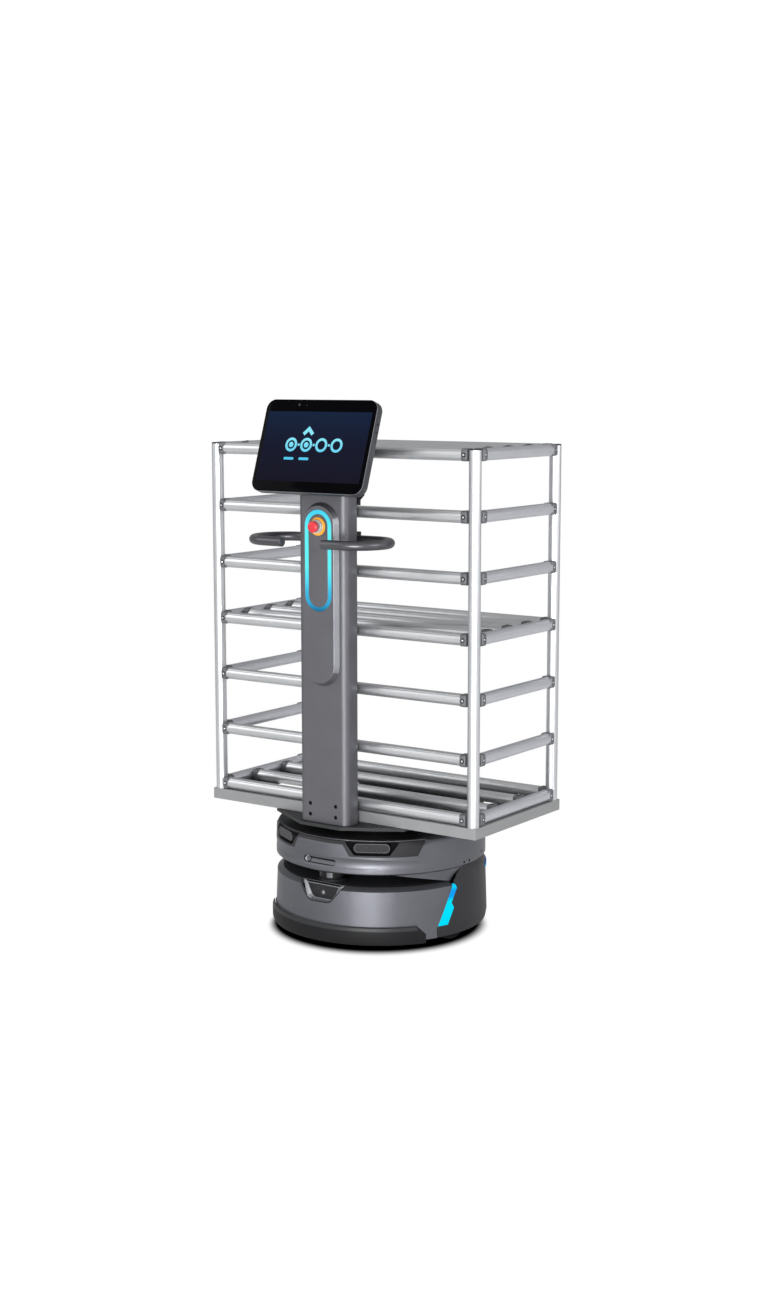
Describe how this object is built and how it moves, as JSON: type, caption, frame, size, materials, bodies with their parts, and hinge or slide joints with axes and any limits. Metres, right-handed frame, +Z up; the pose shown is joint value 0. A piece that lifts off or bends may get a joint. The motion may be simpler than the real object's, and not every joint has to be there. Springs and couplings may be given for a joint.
{
  "type": "autonomous mobile robot",
  "caption": "Wheeled delivery robot: round sensor chassis, tall mast with tilted touch screen, handlebar and emergency stop, and an open shelf rack of aluminium pipe.",
  "frame": {"origin": "middle of the whole machine's footprint, on the floor", "axes": "+Z up, -Y the robot's front with the screen, +X to the right of someone who faces that front"},
  "size_m": [0.77, 0.579, 1.2857],
  "materials": {
    "black_metal": "satin",
    "dark_plastic": "matt",
    "steel": "satin",
    "black_rubber": "matt",
    "silver_paint": "satin metallic",
    "black_gloss": "gloss",
    "brass": "satin",
    "grey_paint": "satin",
    "tyre": "matt",
    "aluminium": "anodised satin",
    "red_plastic": "gloss",
    "joint_metal": "satin",
    "silver_shell": "metallic satin",
    "charcoal_shell": "satin",
    "dark_coat": "satin",
    "cyan_light": "lit from within",
    "screen": "lit display",
    "screen_glass": "gloss"
  },
  "bodies": {
    "chassis": {"base_plate": "black_metal", "battery_pack": "dark_plastic", "bumper_springs": "steel", "camera_bezel": "silver_paint", "camera_window": "black_gloss", "caster_mounts": "steel", "charge_contacts": "brass", "deck_plate": "grey_paint", "depth_cameras": "black_gloss", "estop_collar": "steel", "front_rails": "aluminium", "front_shell": "silver_shell", "gap_shroud": "dark_plastic", "handle_clamps": "grey_paint", "handlebar": "dark_coat", "lidar_base": "dark_plastic", "light_ring": "cyan_light", "main_controller": "dark_plastic", "mast_foot": "black_metal", "mast_panel": "grey_paint", "mast_tube": "grey_paint", "pipe_joints": "joint_metal", "post_caps": "dark_plastic", "rack_posts": "aluminium", "range_window": "black_gloss", "rear_rails": "aluminium", "rear_shell": "charcoal_shell", "shelf_slats": "aluminium", "side_rails": "aluminium", "status_lights": "cyan_light", "support_columns": "black_metal", "tablet_display": "screen", "tablet_glass": "screen_glass", "tablet_shell": "charcoal_shell", "tablet_yoke": "grey_paint", "top_cover": "dark_plastic", "tray": "silver_paint", "upper_ring": "silver_shell", "visor": "black_gloss", "wheel_axles": "steel", "wheel_brackets": "steel"},
    "bumper": {"front_bumper": "black_rubber", "bumper_plungers": "steel"},
    "left_drive_wheel": {"hub_motor_left": "aluminium", "drive_tyre_left": "tyre"},
    "right_drive_wheel": {"hub_motor_right": "aluminium", "drive_tyre_right": "tyre"},
    "scanner_head": {"lidar_head": "black_gloss"},
    "stop_plunger": {"estop_plunger": "dark_plastic"},
    "stop_head": {"estop_head": "red_plastic"},
    "power_key": {"power_button": "dark_plastic"},
    "tablet_power_key": {"tablet_key": "dark_plastic"},
    "caster_front_left": {"caster_fork_front_left": "steel"},
    "caster_roller_front_left": {"caster_wheel_front_left": "black_rubber"},
    "caster_front_right": {"caster_fork_front_right": "steel"},
    "caster_roller_front_right": {"caster_wheel_front_right": "black_rubber"},
    "caster_rear_right": {"caster_fork_rear_right": "steel"},
    "caster_roller_rear_right": {"caster_wheel_rear_right": "black_rubber"},
    "caster_rear_left": {"caster_fork_rear_left": "steel"},
    "caster_roller_rear_left": {"caster_wheel_rear_left": "black_rubber"}
  },
  "joints": [
    {"name": "left_wheel_spin", "type": "hinge", "parent": "chassis", "child": "left_drive_wheel", "pos_m": [-0.195, 0.0295, 0.08], "axis": [1, 0, 0], "continuous": true},
    {"name": "right_wheel_spin", "type": "hinge", "parent": "chassis", "child": "right_drive_wheel", "pos_m": [0.195, 0.0295, 0.08], "axis": [1, 0, 0], "continuous": true},
    {"name": "caster_swivel_front_left", "type": "hinge", "parent": "chassis", "child": "caster_front_left", "pos_m": [-0.105, -0.1185, 0.06], "axis": [0, 0, 1], "continuous": true},
    {"name": "caster_roll_front_left", "type": "hinge", "parent": "caster_front_left", "child": "caster_roller_front_left", "pos_m": [-0.105, -0.0965, 0.025], "axis": [1, 0, 0], "continuous": true},
    {"name": "caster_swivel_front_right", "type": "hinge", "parent": "chassis", "child": "caster_front_right", "pos_m": [0.105, -0.1185, 0.06], "axis": [0, 0, 1], "continuous": true},
    {"name": "caster_roll_front_right", "type": "hinge", "parent": "caster_front_right", "child": "caster_roller_front_right", "pos_m": [0.105, -0.0965, 0.025], "axis": [1, 0, 0], "continuous": true},
    {"name": "caster_swivel_rear_right", "type": "hinge", "parent": "chassis", "child": "caster_rear_right", "pos_m": [0.105, 0.1775, 0.06], "axis": [0, 0, 1], "continuous": true},
    {"name": "caster_roll_rear_right", "type": "hinge", "parent": "caster_rear_right", "child": "caster_roller_rear_right", "pos_m": [0.105, 0.1995, 0.025], "axis": [1, 0, 0], "continuous": true},
    {"name": "caster_swivel_rear_left", "type": "hinge", "parent": "chassis", "child": "caster_rear_left", "pos_m": [-0.105, 0.1775, 0.06], "axis": [0, 0, 1], "continuous": true},
    {"name": "caster_roll_rear_left", "type": "hinge", "parent": "caster_rear_left", "child": "caster_roller_rear_left", "pos_m": [-0.105, 0.1995, 0.025], "axis": [1, 0, 0], "continuous": true},
    {"name": "scanner_spin", "type": "hinge", "parent": "chassis", "child": "scanner_head", "pos_m": [0, -0.1655, 0.16], "axis": [0, 0, 1], "continuous": true},
    {"name": "bumper_press", "type": "slide", "parent": "chassis", "child": "bumper", "axis": [0, 1, 0], "range_m": [0, 0.002], "stiffness_N_per_m": 1500, "springref_m": -0.004, "deforming": ["bumper_springs"]},
    {"name": "stop_press", "type": "slide", "parent": "chassis", "child": "stop_plunger", "axis": [0, 1, 0], "range_m": [0, 0.004], "stiffness_N_per_m": 1500, "springref_m": -0.003},
    {"name": "stop_twist", "type": "hinge", "parent": "stop_plunger", "child": "stop_head", "pos_m": [0, -0.235, 0.998], "axis": [0, 1, 0], "range_deg": [0, 30], "stiffness_Nm_per_rad": 0.05, "springref_deg": -5.73},
    {"name": "power_press", "type": "slide", "parent": "chassis", "child": "power_key", "axis": [0, -1, 0], "range_m": [0, 0.0015], "stiffness_N_per_m": 800, "springref_m": -0.002},
    {"name": "tablet_key_press", "type": "slide", "parent": "chassis", "child": "tablet_power_key", "axis": [0, -0.3247, -0.9458], "range_m": [0, 0.0005], "stiffness_N_per_m": 600, "springref_m": -0.001}
  ]
}
